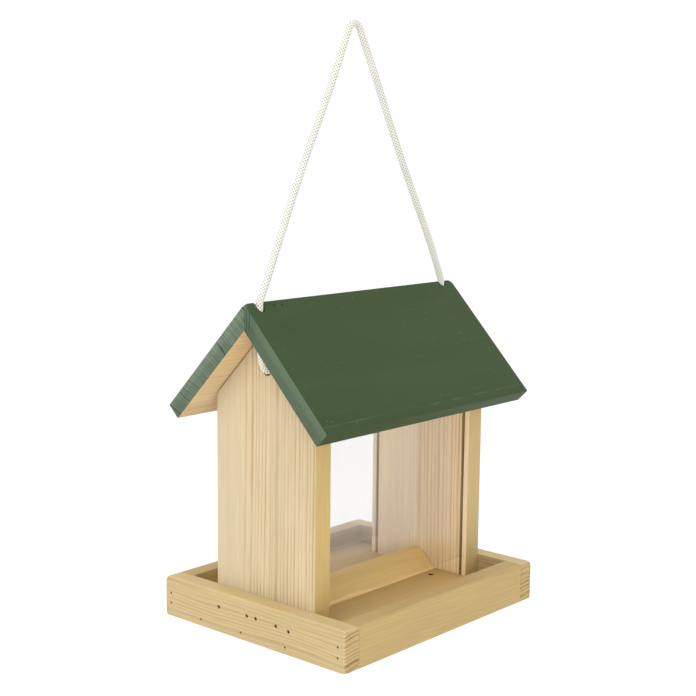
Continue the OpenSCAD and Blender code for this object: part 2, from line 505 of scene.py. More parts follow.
class Figure:
    """The year rings of a board, drawn round its log's middle line so that all faces agree.

    Attributes:
        at: Place in millimetres from the log's middle line, fibres along X.
        late: Dark late wood of the year rings, from 0 to 1.
        fibre: Fine streaks along the fibres, from 0 to 1.
        tone: Slow change of colour over the board, from 0 to 1.
        end: 1 on faces sawn across the fibres, and 0 on the others.
        edge: 1 on faces square to the board's width, and 0 on the others.
    """

    def __init__(
        self, new: Shading, cut: Cut, ring: float, wander: float, thin: float = 1.0
    ) -> None:
        """Draws the figure.

        Args:
            new: The material that takes it.
            cut: How the board came out of its log.
            ring: Width of a year ring, in millimetres.
            wander: How far the rings stray sideways along the log, in millimetres.
            thin: Power that narrows the late wood to lines, from 1 up.
        """
        turn = Euler(cut.grain.value)
        self.at = new.millimetres(turn, cut.heart)
        facing = new.add("TexCoord", out="Normal")
        facing = new.add("Mapping", facing, None, turn, vector_type="VECTOR")
        along = new.add("Math", new.add("SeparateXYZ", facing), operation="ABSOLUTE")
        self.end = new.add("MapRange", along, 0.6, 0.85, 0.0, 1.0)
        beside = new.add("Math", new.add("SeparateXYZ", facing, out=1), operation="ABSOLUTE")
        self.edge = new.add("MapRange", beside, 0.6, 0.85, 0.0, 1.0)
        self.fibre = new.noise(self.at, (28, 0.9, 0.9), cut.seed + 7, 3.0)
        self.tone = new.noise(self.at, (190, 30, 30), cut.seed + 11, 2.0)
        slow = new.noise(self.at, (150, 34, 34), cut.seed, 1.0, "Color")
        quick = new.noise(self.at, (26, 4, 4), cut.seed + 3, 1.0, "Color")
        stray = new.add("VectorMath", slow, (0.5, 0.5, 0.5), operation="SUBTRACT")
        reach = (0, 4 * wander, 4 * wander)
        stray = new.add("VectorMath", stray, reach, self.at, operation="MULTIPLY_ADD")
        stray = new.add("VectorMath", quick, (0, 1, 1), stray, operation="MULTIPLY_ADD")
        across = new.add("VectorMath", stray, (0, 1, 1), operation="MULTIPLY")
        radius = new.add("VectorMath", across, out="Value", operation="LENGTH")
        # Wet and dry years make rings of uneven width.
        years = new.add("Math", radius, 2.6 * ring, operation="DIVIDE")
        inputs = {"W": years, "Detail": 1.0, "Scale": 1.0}
        years = new.add("TexNoise", at=inputs, noise_dimensions="1D")
        age = new.add("Math", radius, ring, operation="DIVIDE")
        age = new.add("Math", years, 2.2, age, operation="MULTIPLY_ADD")
        season = new.add("Math", age, operation="FRACT")
        slow_start_sharp_end = (
            (0.0, 0.3), (1.0, 0.3), (0.12, 0.05), (0.5, 0.12), (0.8, 0.75), (0.92, 1.0),
        )
        late = new.add("ValToRGB", season, stops=slow_start_sharp_end)
        late = new.add("Math", late, thin, operation="POWER")
        # Where a face lies along the rings they blur, and where it crosses them they are crisp.
        outward = new.add("VectorMath", across, operation="NORMALIZE")
        lying = new.add("VectorMath", outward, facing, out="Value", operation="DOT_PRODUCT")
        lying = new.add("Math", lying, operation="ABSOLUTE")
        crisp = new.add("MapRange", lying, 0.62, 0.86, 1.0, 0.06, **EASED)
        patches = new.noise(self.at, (60, 12, 12), cut.seed + 17, 1.0)
        patches = new.add("MapRange", patches, 0.35, 0.6, 0.5, 1.0)
        crisp = new.add("Math", crisp, patches, operation="MULTIPLY")
        self.late = new.add("Math", late, crisp, operation="MULTIPLY")


@dataclass(frozen=True)
class PlanedPine:
    """Planed pine, treated against rot and left bare.

    The planer leaves it matt and smooth, so the figure is all colour: pale early wood with
    thin darker late wood that stands a little proud after sanding, and darker, hungrier
    grooved end grain, whose grooves also carry painted shade.

    Attributes:
        early: Colour of the early wood.
        late: Colour of the late wood.
        end: Colour of the end grain.
        edge: Colour of the early wood on the board's narrow edges.
        groove: Colour of the end grain's late wood, darkened further as painted shade in its
            grooves.
        contrast: How strongly the rings show on the faces.
        ring: Width of a year ring, in millimetres.
        wander: How far the rings stray along the board, in millimetres.
        relief: Height of the late wood above the early wood, in millimetres.
        thin: Power that narrows the late wood to lines, from 1 up.
    """

    early: str
    late: str
    end: str
    edge: str
    groove: str = "#8a6a3c"
    contrast: float = 0.5
    ring: float = 2.9
    wander: float = 1.5
    relief: float = 0.12
    thin: float = 1.0

    def material(self, name: str, cut: Cut) -> bpy.types.Material:
        """Makes the finish of one board.

        Args:
            name: Name of the material.
            cut: How the board came out of its log.

        Returns:
            The material.
        """
        new = Shading(name)
        figure = Figure(new, cut, self.ring, self.wander, self.thin)
        ends = {6: linear(self.early), 7: linear(self.edge)}
        early = new.add("Mix", figure.edge, at=ends, **IN_COLOUR)
        share = new.add("Math", figure.late, self.contrast, operation="MULTIPLY")
        ends = {6: early, 7: linear(self.late)}
        face = new.add("Mix", share, at=ends, **IN_COLOUR)
        # On an end, the late wood takes the groove colour: its own darker tone plus painted shade
        # in the grooves.
        share = new.add("Math", figure.late, 0.8, operation="MULTIPLY")
        ends = {6: linear(self.end), 7: linear(self.groove)}
        sawn = new.add("Mix", share, at=ends, **IN_COLOUR)
        colour = new.add("Mix", figure.end, at={6: face, 7: sawn}, **IN_COLOUR)
        fibre = new.add("MapRange", figure.fibre, 0.25, 0.75, 0.90, 1.06)
        tone = new.add("MapRange", figure.tone, 0.3, 0.7, 0.94, 1.05)
        light = new.add("Math", fibre, tone, operation="MULTIPLY")
        colour = new.add("VectorMath", colour, at={3: light}, operation="SCALE")
        # Late wood stands proud on a planed face, and a saw tears it into grooves on an end.
        proud = new.add("MapRange", figure.end, 0.0, 1.0, 0.8, -3.0)
        height = new.add("Math", figure.late, proud, operation="MULTIPLY")
        height = new.add("Math", figure.fibre, 0.3, height, operation="MULTIPLY_ADD")
        inputs = {"Strength": 1.0, "Distance": self.relief * MM, "Height": height}
        bump = new.add("Bump", at=inputs)
        rough = new.add("MapRange", figure.fibre, 0.2, 0.8, 0.50, 0.68)
        return new.finish(
            Base_Color=colour, Roughness=rough, Normal=bump, Specular_IOR_Level=0.3
        )


@dataclass(frozen=True)
class GreenStain:
    """Pine under a brushed-on green wood stain.

    The stain soaks in and dries to a dull film. It fills the figure of the faces, lies in
    stripes on the thirsty end grain, and was rubbed thin over the outer half of the ends and
    along the eave. Grit chipped it here and there.

    Attributes:
        pigment: Colour of the full film.
        thin: Colour where the film is thin.
        end: Colour of stained end grain.
        dark: Colour of the stripes on the end grain.
        ring: Width of a year ring, in millimetres.
        rubbed: Width of the rubbed band on an end, in millimetres.
        bare: Colour of the wood in the tiny chips of the film.
        chips: Level of the noise above which the film is chipped.
        worn_at: Distance down the slope of a line that handling rubbed thin, in millimetres.
    """

    pigment: str = "#354627"
    thin: str = "#566550"
    end: str = "#4b5845"
    dark: str = "#263827"
    ring: float = 1.7
    rubbed: float = 5.0
    bare: str = "#a8b09a"
    chips: float = 0.74
    worn_at: float = 95.5

    def material(
        self, name: str, cut: Cut, ridge: Vector, turn: float, lined: float
    ) -> bpy.types.Material:
        """Makes the finish of one roof board.

        Args:
            name: Name of the material.
            cut: How the board came out of its log.
            ridge: A point of the ridge line.
            turn: Turn of the board about X.
            lined: How far down the slope the end grain shows its lines, in metres.

        Returns:
            The material.
        """
        new = Shading(name)
        figure = Figure(new, cut, self.ring, 1.5)
        on_board = new.millimetres(Euler((-turn, 0, 0)), ridge)
        down = new.add("SeparateXYZ", on_board, out=1)
        down = new.add("Math", down, operation="ABSOLUTE")
        depth = new.add("SeparateXYZ", on_board, out=2)
        # The ends are rubbed thin towards their outer arris.
        patches = new.noise(figure.at, (14, 5, 5), cut.seed + 21, 3.0)
        edge = new.add("Math", patches, 3.0, depth, operation="MULTIPLY_ADD")
        inner = 0.4 - self.rubbed / 2
        rubbed = new.add("MapRange", edge, -self.rubbed, inner, 0.0, 0.75, **EASED)
        # The faces show faint brush marks, and a broken worn line along the eave.
        brush = new.noise(figure.at, (60, 1.6, 1.6), cut.seed + 31, 3.0)
        share = new.add("MapRange", brush, 0.55, 0.85, 0.0, 0.16)
        worn = new.add("Math", down, -self.worn_at, operation="ADD")
        worn = new.add("Math", worn, operation="ABSOLUTE")
        worn = new.add("MapRange", worn, 0.2, 0.9, 1.0, 0.0)
        broken = new.noise(figure.at, (12, 2, 2), cut.seed + 51, 3.0)
        broken = new.add("MapRange", broken, 0.45, 0.65, 0.0, 0.5)
        worn = new.add("Math", worn, broken, operation="MULTIPLY")
        share = new.add("Math", share, worn, operation="MAXIMUM")
        ends = {6: linear(self.pigment), 7: linear(self.thin)}
        film = new.add("Mix", share, at=ends, **IN_COLOUR)
        # The end grain's stripes fade out down the slope.
        faded = new.add("Math", patches, 30.0, down, operation="MULTIPLY_ADD")
        far = lined / MM + 15
        lines = new.add("MapRange", faded, far, 0.6 * far, 0.12, 1.0, **EASED)
        lines = new.add("Math", figure.late, lines, operation="MULTIPLY")
        ends = {6: linear(self.end), 7: linear(self.thin)}
        sawn = new.add("Mix", rubbed, at=ends, **IN_COLOUR)
        sawn = new.add("Mix", lines, at={6: sawn, 7: linear(self.dark)}, **IN_COLOUR)
        colour = new.add("Mix", figure.end, at={6: film, 7: sawn}, **IN_COLOUR)
        # Tiny chips are about a millimetre wide.
        grit = new.noise(figure.at, (1.3, 1.0, 1.0), cut.seed + 41)
        share = new.add("MapRange", grit, self.chips, self.chips + 0.03, 0.0, 0.6)
        ends = {6: colour, 7: linear(self.bare)}
        colour = new.add("Mix", share, at=ends, **IN_COLOUR)
        light = new.add("MapRange", figure.tone, 0.3, 0.7, 0.93, 1.06)
        colour = new.add("VectorMath", colour, at={3: light}, operation="SCALE")
        height = new.add("Math", lines, figure.end, operation="MULTIPLY")
        height = new.add("Math", brush, 0.4, height, operation="MULTIPLY_ADD")
        inputs = {"Strength": 0.8, "Distance": 0.1 * MM, "Height": height}
        bump = new.add("Bump", at=inputs, invert=True)
        rough = new.add("MapRange", brush, 0.3, 0.8, 0.50, 0.64)
        return new.finish(
            Base_Color=colour, Roughness=rough, Normal=bump, Specular_IOR_Level=0.15
        )


@dataclass(frozen=True)
class ClearAcrylic:
    """Cast acrylic sheet, sawn and lightly polished at its edges.

    It is so clear that it only shows by a faint grey tint, by a weak mirror image of the
    room, stronger at a slant, and by fine wiping scratches.

    Attributes:
        tint: Colour that it gives to the light that it bends.
        ior: Index of refraction.
        seen_straight: How much of it shows face on, from 0 to 1.
        seen_aslant: How much more of it shows along its face.
    """

    tint: str = "#c9cdcd"
    ior: float = 1.49
    seen_straight: float = 0.10
    seen_aslant: float = 0.35

    def material(self) -> bpy.types.Material:
        """Makes the finish of both panes.

        Returns:
            The material.
        """
        new = Shading("cast_acrylic_sheet")
        wiped = new.noise(new.millimetres(), (40, 5, 0.8), 5.0, 3.0)
        rough = new.add("MapRange", wiped, 0.55, 0.8, 0.015, 0.06)
        aslant = new.add("LayerWeight", out="Facing")
        aslant = new.add("Math", aslant, 5.0, operation="POWER")
        seen = new.add(
            "Math", aslant, self.seen_aslant, self.seen_straight, operation="MULTIPLY_ADD"
        )
        return new.finish(
            Base_Color=linear(self.tint),
            Roughness=rough,
            IOR=self.ior,
            Transmission_Weight=1.0,
            Alpha=seen,
        )


@dataclass(frozen=True)
class BradSteel:
    """Bright drawn steel wire, blackened a little where the nail gun's punch struck it.

    Attributes:
        bright: Colour of the drawn wire.
        struck: Colour where it was struck.
    """

    bright: str = "#57534c"
    struck: str = "#1f1c18"

    def material(self) -> bpy.types.Material:
        """Makes the finish of every brad.

        Returns:
            The material.
        """
        new = Shading("drawn_steel_wire")
        marks = new.noise(new.millimetres(), (0.7, 0.7, 0.7), 2.0)
        share = new.add("MapRange", marks, 0.4, 0.6, 0.0, 1.0)
        ends = {6: linear(self.bright), 7: linear(self.struck)}
        colour = new.add("Mix", share, at=ends, **IN_COLOUR)
        rough = new.add("MapRange", marks, 0.3, 0.7, 0.35, 0.6)
        return new.finish(Base_Color=colour, Roughness=rough, Metallic=0.9)


@dataclass(frozen=True)
class BraidedCotton:
    """White cord braided from bundles of fine spun fibre.

    The bundles are bright and soft, and the gaps between them hold grey shadow and dust.

    Attributes:
        crown: Colour on top of a bundle.
        gap: Colour between two bundles, darkened as painted shade in the gaps, with some dust.
    """

    crown: str = "#dddbd2"
    gap: str = "#6b695d"

    def material(self) -> bpy.types.Material:
        """Makes the finish of the whole cord.

        Returns:
            The material.
        """
        new = Shading("braided_white_cord")
        # Low places of the weave take the gap colour: painted shade in the creases between
        # bundles, with some dust.
        raised = new.add("Attribute", out="Fac", attribute_name=Braid.HEIGHT_NAME)
        share = new.add("MapRange", raised, 0.3, 0.9, 0.0, 1.0, **EASED)
        ends = {6: linear(self.gap), 7: linear(self.crown)}
        colour = new.add("Mix", share, at=ends, **IN_COLOUR)
        at = new.millimetres()
        soil = new.noise(at, (18, 18, 18), 4.0)
        light = new.add("MapRange", soil, 0.35, 0.7, 1.0, 0.95)
        colour = new.add("VectorMath", colour, at={3: light}, operation="SCALE")
        fuzz = new.noise(at, (0.25, 0.25, 0.25), 8.0)
        bump = new.add("Bump", at={"Strength": 0.5, "Distance": 0.05 * MM, "Height": fuzz})
        return new.finish(
            Base_Color=colour,
            Normal=bump,
            Roughness=0.85,
            Sheen_Weight=0.3,
            Specular_IOR_Level=0.25,
        )


# ---- the feeder's place ----


@dataclass(frozen=True)
class Datum:
    """The middle of the tray's underside, from which the feeder's drawing is measured."""

    middle: Vector

    @classmethod
    def from_frame(cls) -> Datum:
        """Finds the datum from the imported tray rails."""
        left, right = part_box("tray_rail_left")[0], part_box("tray_rail_right")[1]
        return cls(Vector(((left.x + right.x) / 2, (left.y + right.y) / 2, left.z)))

    def at(self, x: float, y: float, z: float) -> Vector:
        """Gives the frame's place for a place on the drawing, in metres."""
        return self.middle + Vector((x, y, z))


# ---- studio ----


@dataclass
class Studio:
    """A pale floor far under the hanging feeder, soft lights and the camera.

    Attributes:
        azimuth: Way round from the front to the camera.
        elevation: Height of the camera above the level.
        roll: Lean of the hanging feeder against the camera.
        distance: From the camera to the point that it looks at.
        target: Point that the camera looks at, from the datum.
        lens: Focal length, in millimetres on a 36 mm sensor.
        floor_drop: From the tray's underside down to the floor.
        floor_size: Length and width of the floor.
        room: Brightness of the white room.
        softboxes: Name, place from the datum, width and watts of each soft light.
    """

    datum: Datum
    azimuth: float = math.radians(-48.69)
    elevation: float = math.radians(8.69)
    roll: float = math.radians(0.61)
    distance: float = 0.961
    target: tuple[float, float, float] = (-0.0031, 0.0036, 0.1809)
    lens: float = 73.5
    floor_drop: float = 0.42
    floor_size: float = 24.0
    room: float = 1.04
    softboxes: tuple[tuple[str, tuple[float, float, float], float, float], ...] = (
        ("key", (-1.6, -0.3, 1.5), 1.3, 20.0),
        ("fill", (-1.25, -1.35, 0.1), 1.2, 8.0),
    )

    def set_camera(self) -> None:
        """Makes the camera and looks through it."""
        data = bpy.data.cameras.new("camera")
        data.lens = self.lens
        data.sensor_width = 36.0
        data.clip_start = 0.01
        camera = bpy.data.objects.new("camera", data)
        bpy.context.scene.collection.objects.link(camera)
        back = Vector(
            (
                math.sin(self.azimuth) * math.cos(self.elevation),
                -math.cos(self.azimuth) * math.cos(self.elevation),
                math.sin(self.elevation),
            )
        )
        turn = back.to_track_quat("Z", "Y") @ Quaternion((0, 0, 1), self.roll)
        position = self.datum.at(*self.target) + self.distance * back
        camera.matrix_world = Matrix.Translation(position) @ turn.to_matrix().to_4x4()
        bpy.context.scene.camera = camera
        LOG.info("camera at %s", [round(x, 3) for x in position])

    def lay_floor(self) -> None:
        """Lays the pale floor, as stage and not object."""
        low = self.datum.at(0, 0, -self.floor_drop)
        bpy.ops.object.select_all(action="DESELECT")
        bpy.ops.mesh.primitive_plane_add(size=self.floor_size, location=low)
        floor = settle(bpy.context.active_object, "studio_floor")
        new = Shading("matt_paper")
        pulp = new.noise(new.millimetres(), (400, 400, 400), 1.0)
        grey = new.add("MapRange", pulp, 0.3, 0.7, 0.965, 0.985)
        dress(floor, new.finish(Base_Color=grey, Roughness=0.9))

    def light(self) -> None:
        """Hangs large soft boxes in a white room."""
        world = bpy.data.worlds.new("white_room")
        world.use_nodes = True
        background = world.node_tree.nodes["Background"].inputs
        background["Color"].default_value = (1, 1, 1, 1)
        background["Strength"].default_value = self.room
        bpy.context.scene.world = world
        bpy.context.scene.view_settings.view_transform = "Standard"
        for name, position, size, watts in self.softboxes:
            self.hang_softbox(name, self.datum.at(*position), size, watts)

    def hang_softbox(self, name: str, position: Vector, size: float, watts: float) -> None:
        """Hangs one square light that faces the feeder.

        Args:
            name: Name of the light.
            position: Place of its middle.
            size: Its width.
            watts: Its power.
        """
        data = bpy.data.lights.new(name, "AREA")
        data.energy = watts
        data.size = size
        lamp = bpy.data.objects.new(name, data)
        way = self.datum.at(*self.target) - position
        turn = (-way).to_track_quat("Z", "Y")
        lamp.matrix_world = Matrix.Translation(position) @ turn.to_matrix().to_4x4()
        bpy.context.scene.collection.objects.link(lamp)


# ---- cord ----


def smooth_line(points: np.ndarray, step: float) -> np.ndarray:
    """Draws one smooth curve through points and spaces it evenly.

    Args:
        points: The points, n by 3.
        step: Distance between two points of the result.

    Returns:
        Points along the curve, from the first point to the last.
    """
    padded = np.vstack([2 * points[0] - points[1], points, 2 * points[-1] - points[-2]])
    fine = [points[:1]]
    share = np.linspace(0, 1, CURVE_STEPS + 1)[1:, None]
    for p0, p1, p2, p3 in zip(padded, padded[1:], padded[2:], padded[3:]):
        # Centripetal Catmull-Rom: even a tight bend next to a long run gets no loop.
        pairs = ((p0, p1), (p1, p2), (p2, p3))
        k0, k1, k2 = (np.linalg.norm(b - a) ** 0.5 for a, b in pairs)
        m1 = (p2 - p1) / k1 - (p2 - p0) / (k0 + k1) + (p1 - p0) / k0
        m2 = (p2 - p1) / k1 - (p3 - p1) / (k1 + k2) + (p3 - p2) / k2
        m1, m2 = m1 * k1, m2 * k1
        a = 2 * (p1 - p2) + m1 + m2
        b = -3 * (p1 - p2) - 2 * m1 - m2
        fine.append(a * share**3 + b * share**2 + m1 * share + p1)
    line = np.vstack(fine)
    run = np.concatenate([[0], np.cumsum(np.linalg.norm(np.diff(line, axis=0), axis=1))])
    even = np.linspace(0, run[-1], max(2, round(run[-1] / step)) + 1)
    return np.stack([np.interp(even, run, line[:, i]) for i in range(3)], axis=1)


@dataclass(frozen=True)
class Braid:
    """A plain braid: bundles that run both ways round and pass over and under each other.

    Attributes:
        diameter: Over the crowns of the bundles.
        bundles: Number of bundles that run each way round.
        repeat: Along the cord from one bundle to the next of the same way.
        relief: From the crowns down to the gaps.
        around: Corners of one ring of the mesh.
        step: Distance between two rings of the mesh.
    """

    HEIGHT_NAME = "braid_height"

    diameter: float = 0.005
    bundles: int = 6
    repeat: float = 0.0023
    relief: float = 0.00055
    around: int = 48
    step: float = 0.0003

    def height(self, turn: np.ndarray, along: np.ndarray) -> np.ndarray:
        """Gives the height of the weave, from 0 in a gap to 1 on a crown.

        Args:
            turn: Angle round the cord.
            along: Distance along the cord.

        Returns:
            The heights, shaped as the two together.
        """
        round_it = self.bundles * turn / (2 * math.pi)
        one, other = round_it + along / self.repeat, round_it - along / self.repeat
        heights = []
        for mine, crossing, way in ((one, other, 1), (other, one, -1)):
            off = mine - np.round(mine)
            bundle = np.sqrt(np.clip(1 - (2 * off) ** 2, 0, 1))
            over = way * np.cos(math.pi * crossing) * (-1.0) ** np.round(mine)
            heights.append(0.45 * bundle + 0.55 * (0.5 + 0.5 * over) * bundle)
        return np.maximum(*heights)

    def sweep(self, name: str, line: np.ndarray, sealed: bool = False) -> Piece:
        """Lays the braid along a line.

        Args:
            name: Name of the piece.
            line: Evenly spaced points of the cord's middle line, n by 3.
            sealed: Whether the last end is melted to a round blob.

        Returns:
            The closed mesh tube.
        """
        way = np.gradient(line, axis=0)
        way /= np.linalg.norm(way, axis=1, keepdims=True)
        side = np.empty_like(line)
        last = np.cross(way[0], (0, 1, 0) if abs(way[0][1]) < 0.9 else (1, 0, 0))
        for i, t in enumerate(way):
            last = last - last.dot(t) * t
            last /= np.linalg.norm(last)
            side[i] = last
        up = np.cross(way, side)
        turn = np.arange(self.around) * 2 * math.pi / self.around
        gaps = np.linalg.norm(np.diff(line, axis=0), axis=1)
        along = np.concatenate([[0], np.cumsum(gaps)])[:, None]
        height = self.height(turn[None, :], along)
        radius = self.diameter / 2 - self.relief * (1 - height)
        if sealed:
            left = np.clip((along[-1] - along) / (self.diameter * 0.35), 0, 1)
            radius = radius * (0.25 + 0.75 * np.sqrt(left * (2 - left)))
        rings = (
            line[:, None, :]
            + (radius * np.cos(turn))[..., None] * side[:, None, :]
            + (radius * np.sin(turn))[..., None] * up[:, None, :]
        )
        count, size = len(line), self.around
        points = np.vstack([rings.reshape(-1, 3), line[:1], line[-1:]])
        index = np.arange(count * size).reshape(count, size)
        after = np.roll(index, -1, axis=1)
        skin = np.stack([index[:-1], after[:-1], after[1:], index[1:]], axis=-1)
        faces = skin.reshape(-1, 4).tolist()
        faces += [(count * size, after[0][i], index[0][i]) for i in range(size)]
        faces += [(count * size + 1, index[-1][i], after[-1][i]) for i in range(size)]
        mesh = bpy.data.meshes.new(name)
        mesh.from_pydata(points.tolist(), [], faces)
        level = mesh.attributes.new(self.HEIGHT_NAME, "FLOAT", "POINT")
        level.data.foreach_set("value", np.append(height, (0.5, 0.5)).astype(np.float32))
        piece = bpy.data.objects.new(name, mesh)
        bpy.context.scene.collection.objects.link(piece)
        with edit(piece, Part.FACES, everything):
            bpy.ops.mesh.normals_make_consistent(inside=False)
        shade(piece, 60)
        return piece


@dataclass
class Cord:
    """The hanging cord: a loop over the roof, and a strand and a stopper knot at each end.

    Attributes:
        datum: The feeder's place.
        braid: The cord's braid.
        loop_route: Points of the loop on the drawing, from the left ridge hole over the hook
            to the right one, as (x, z).
        strand_route: Points of a strand, from the ridge hole down and through the gable wall,
            as (distance from the middle, z).
        front: How far in front of the ridge line the cord runs at the left end of the roof.
        knot_tail: Length of the tail that hangs out of a knot, in cord diameters.
    """

    datum: Datum
    braid: Braid = field(default_factory=Braid)
    loop_route: Places = (
        (-0.0935, 0.218), (-0.0933, 0.220), (-0.0923, 0.2225), (-0.0895, 0.228),
        (-0.0535, 0.304), (-0.026, 0.357), (-0.011, 0.389), (-0.0095, 0.392),
        (-0.007, 0.3945), (-0.004, 0.3955), (-0.001, 0.3945), (0.0015, 0.392),
        (0.003, 0.389), (0.0195, 0.358), (0.0475, 0.305), (0.080, 0.248),
        (0.090, 0.228), (0.0925, 0.2225), (0.0933, 0.220), (0.0935, 0.218),
    )
    strand_route: Places = (
        (0.0935, 0.218), (0.0935, 0.210), (0.0932, 0.203), (0.0925, 0.194), (0.0915, 0.1855),
        (0.090, 0.180), (0.0885, 0.1776), (0.086, 0.1762), (0.083, 0.176), (0.070, 0.176),
    )
    front: float = 0.002
    knot_tail: float = 2.6

    def line(self, route: Sequence[tuple[float, float]], side: int, step: float) -> np.ndarray:
        """Draws a route, mirrored when side is -1, which leans from the hook to the left hole.

        Args:
            route: Points of the route on the drawing.
            side: -1 to mirror them and 1 to leave them.
            step: Distance between two points of the line.

        Returns:
            The line.
        """
        top_x, top = max(self.loop_route, key=lambda point: point[1])
        fall = top - self.loop_route[0][1]
        points = []
        for x, z in route:
            lean = self.front * min(1, (top - z) / fall) if side * x < top_x else 0
            points.append(self.datum.at(side * x, -lean, z))
        return smooth_line(np.array(points), step)

    def build(self) -> None:
        finish = BraidedCotton().material()
        self.build_loop(finish)
        for way in (Way.LEFT, Way.RIGHT):
            self.build_strand(finish, way)

    def build_loop(self, finish: bpy.types.Material) -> None:
        """Builds the loop, which the roof is lifted up along.

        Args:
            finish: The cord's material.
        """
        line = self.line(self.loop_route, 1, self.braid.step)
        loop = self.braid.sweep("cord_loop", line)
        dress(loop, finish)
        place(loop, "house", "rope", "rope_loop")
        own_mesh(loop)

    def build_strand(self, finish: bpy.types.Material, way: Way) -> None:
        """Builds the strand under one end of the roof, with its knot.

        Args:
            finish: The cord's material.
            way: The end.
        """
        end, side = way.value
        line = self.line(self.strand_route, side, self.braid.step)
        strand = self.braid.sweep(f"cord_strand_{end}", line)
        dress(strand, finish)
        knot = self.build_knot(finish, way)
        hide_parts(f"rope_strand_{end}")
        bend_x, bend_z = self.strand_route[5]
        above_bend = self.datum.at(side * bend_x, 0, bend_z)
        under_roof = self.datum.at(side * bend_x, 0, self.strand_route[0][1])
        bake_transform(strand)
        LOG.info("%s bends between house and roof", strand.name)

    def build_knot(self, finish: bpy.types.Material, way: Way) -> Piece:
        """Ties an overhand knot against the inside of a gable wall.

        The cord runs in along the middle, turns back, winds round itself once and a quarter,
        passes through its own turn and hangs down.

        Args:
            finish: The cord's material.
            way: The end.

        Returns:
            The knot.
        """
        end, side = way.value
        d = self.braid.diameter
        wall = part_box(f"gable_wall_{end}")
        wall_x = wall[1].x if side < 0 else wall[0].x
        start = self.datum.at(0, -self.front if side < 0 else 0, self.strand_route[-1][1])
        start.x = wall_x
        inner = 0.42
        turns = [math.radians(a) for a in range(110, 561, 45)]
        winding = [
            (2.1 - 1.6 * i / (len(turns) - 1), 0.92 * math.cos(a), 1.22 * math.sin(a))
            for i, a in enumerate(turns)
        ]
        route = (
            [(-0.4, 0, 0), (0.3, 0, 0.1), (1.2, 0, inner), (2.1, 0, inner)]
            + [(2.75, -0.1, 0.62), (2.65, -0.35, 1.0)]
            + winding
            + [(0.35, -0.35, -0.75), (0.9, 0, -inner), (2.2, 0, -inner), (2.9, 0, -0.6)]
            + [(3.2, 0, -1.3), (3.25, 0, -1.3 - self.knot_tail / 2)]
            + [(3.2, 0, -1.3 - self.knot_tail)]
        )
        points = np.array([start + d * Vector((-side * x, y, z)) for x, y, z in route])
        braid = Braid(diameter=d * 0.9, around=32, step=0.0005)
        knot = braid.sweep(f"cord_knot_{end}", smooth_line(points, braid.step), sealed=True)
        dress(knot, finish)
        place(knot, "house", "rope", f"rope_knot_{end}")
        return knot


# ---- tray ----


